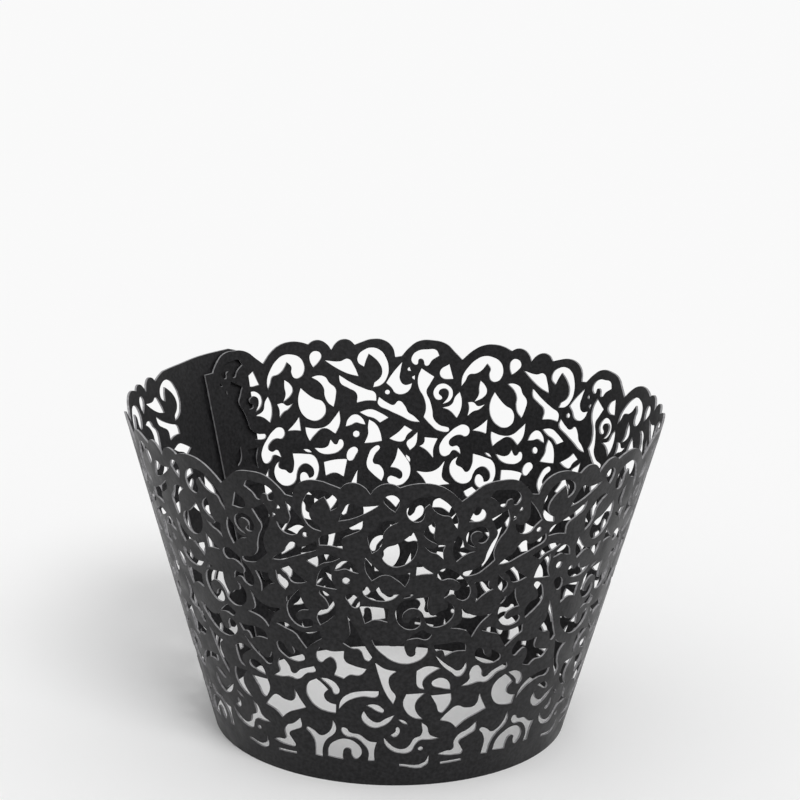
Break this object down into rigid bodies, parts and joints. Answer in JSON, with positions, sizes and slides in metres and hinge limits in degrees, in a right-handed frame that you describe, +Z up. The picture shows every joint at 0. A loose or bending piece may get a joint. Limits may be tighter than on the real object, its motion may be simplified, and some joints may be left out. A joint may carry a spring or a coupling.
{
  "type": "cupcake wrapper",
  "caption": "Black filigree cupcake wrapper: a strip of thin card cut with vines and scrolls, rolled into a flaring ring.",
  "frame": {"origin": "middle of the ring, on the surface that the wrapper stands on", "axes": "+Z up, -Y towards the viewer of the picture, +X to their right"},
  "size_m": [0.0809, 0.0809, 0.0501],
  "materials": {
    "pearl_card": "satin pearl card"
  },
  "bodies": {
    "root": {"wrapper": "pearl_card"}
  },
  "joints": []
}
